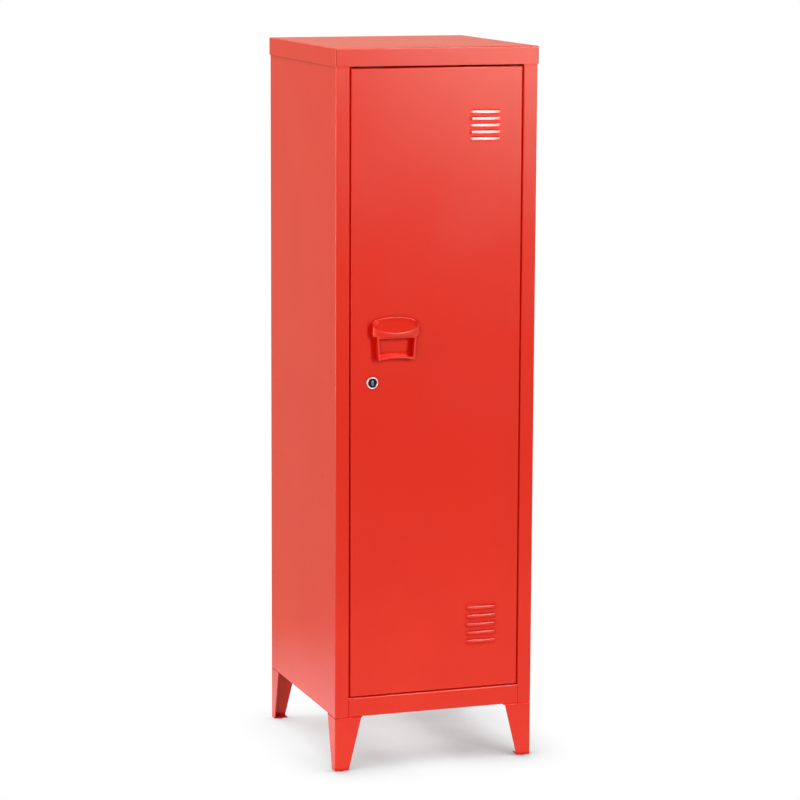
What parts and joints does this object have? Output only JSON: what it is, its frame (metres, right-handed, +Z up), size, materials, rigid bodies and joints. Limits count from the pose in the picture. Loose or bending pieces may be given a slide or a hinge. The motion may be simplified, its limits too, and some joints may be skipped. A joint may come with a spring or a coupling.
{
  "type": "metal locker",
  "caption": "Free-standing sheet-steel locker with a hinged door, a fixed pull, a cam lock, louvred vents, shelves and tapered legs.",
  "frame": {"origin": "on the floor, under the middle of the whole piece with its pull", "axes": "+Z up, the door faces -Y, +X to the right of a person who faces the door"},
  "size_m": [0.38, 0.42, 1.3],
  "materials": {
    "red_powder_coat": "semi-gloss powder coat",
    "zinc_plate": "bright zinc plate",
    "black_oxide": "black oxide, oiled",
    "magnet_steel": "nickel plated",
    "lock_chrome": "polished chrome plate",
    "lock_black": "satin black",
    "black_nylon": "moulded",
    "black_rubber": "matte"
  },
  "bodies": {
    "cabinet": {"top_cap": "red_powder_coat", "left_side_panel": "red_powder_coat", "right_side_panel": "red_powder_coat", "back_panel": "red_powder_coat", "bottom_panel": "red_powder_coat", "header_rail": "red_powder_coat", "front_left_leg": "red_powder_coat", "front_right_leg": "red_powder_coat", "rear_left_leg": "red_powder_coat", "rear_right_leg": "red_powder_coat", "foot_glides": "black_nylon", "leg_bolts": "zinc_plate", "leg_nuts": "zinc_plate", "cap_nuts": "zinc_plate", "back_rivets": "zinc_plate", "shelf_tracks": "red_powder_coat", "shelf_clips": "zinc_plate", "upper_shelf": "red_powder_coat", "middle_shelf": "red_powder_coat", "lower_shelf": "red_powder_coat", "catch_body": "black_nylon", "catch_magnet": "magnet_steel", "catch_screws": "zinc_plate", "upper_hinge_pin": "black_oxide", "lower_hinge_pin": "black_oxide", "hinge_washer": "black_nylon"},
    "door": {"door_skin": "red_powder_coat", "door_stiffener": "red_powder_coat", "upper_door_bracket": "zinc_plate", "lower_door_bracket": "zinc_plate", "upper_bushing": "black_nylon", "lower_bushing": "black_nylon", "door_bumpers": "black_rubber", "strike_plate": "zinc_plate", "pull_handle": "red_powder_coat", "handle_screws": "zinc_plate", "lock_housing": "lock_chrome", "lock_nut": "zinc_plate"},
    "lock": {"lock_plug": "lock_black", "lock_cam": "zinc_plate", "cam_screw": "zinc_plate"}
  },
  "joints": [
    {"name": "door_hinge", "type": "hinge", "parent": "cabinet", "child": "door", "pos_m": [0.1459, -0.1815, 0.7], "axis": [0, 0, 1], "range_deg": [0, 110]},
    {"name": "lock_turn", "type": "hinge", "parent": "door", "child": "lock", "pos_m": [-0.1199, -0.189, 0.7085], "axis": [0, 1, 0], "range_deg": [0, 90]}
  ]
}
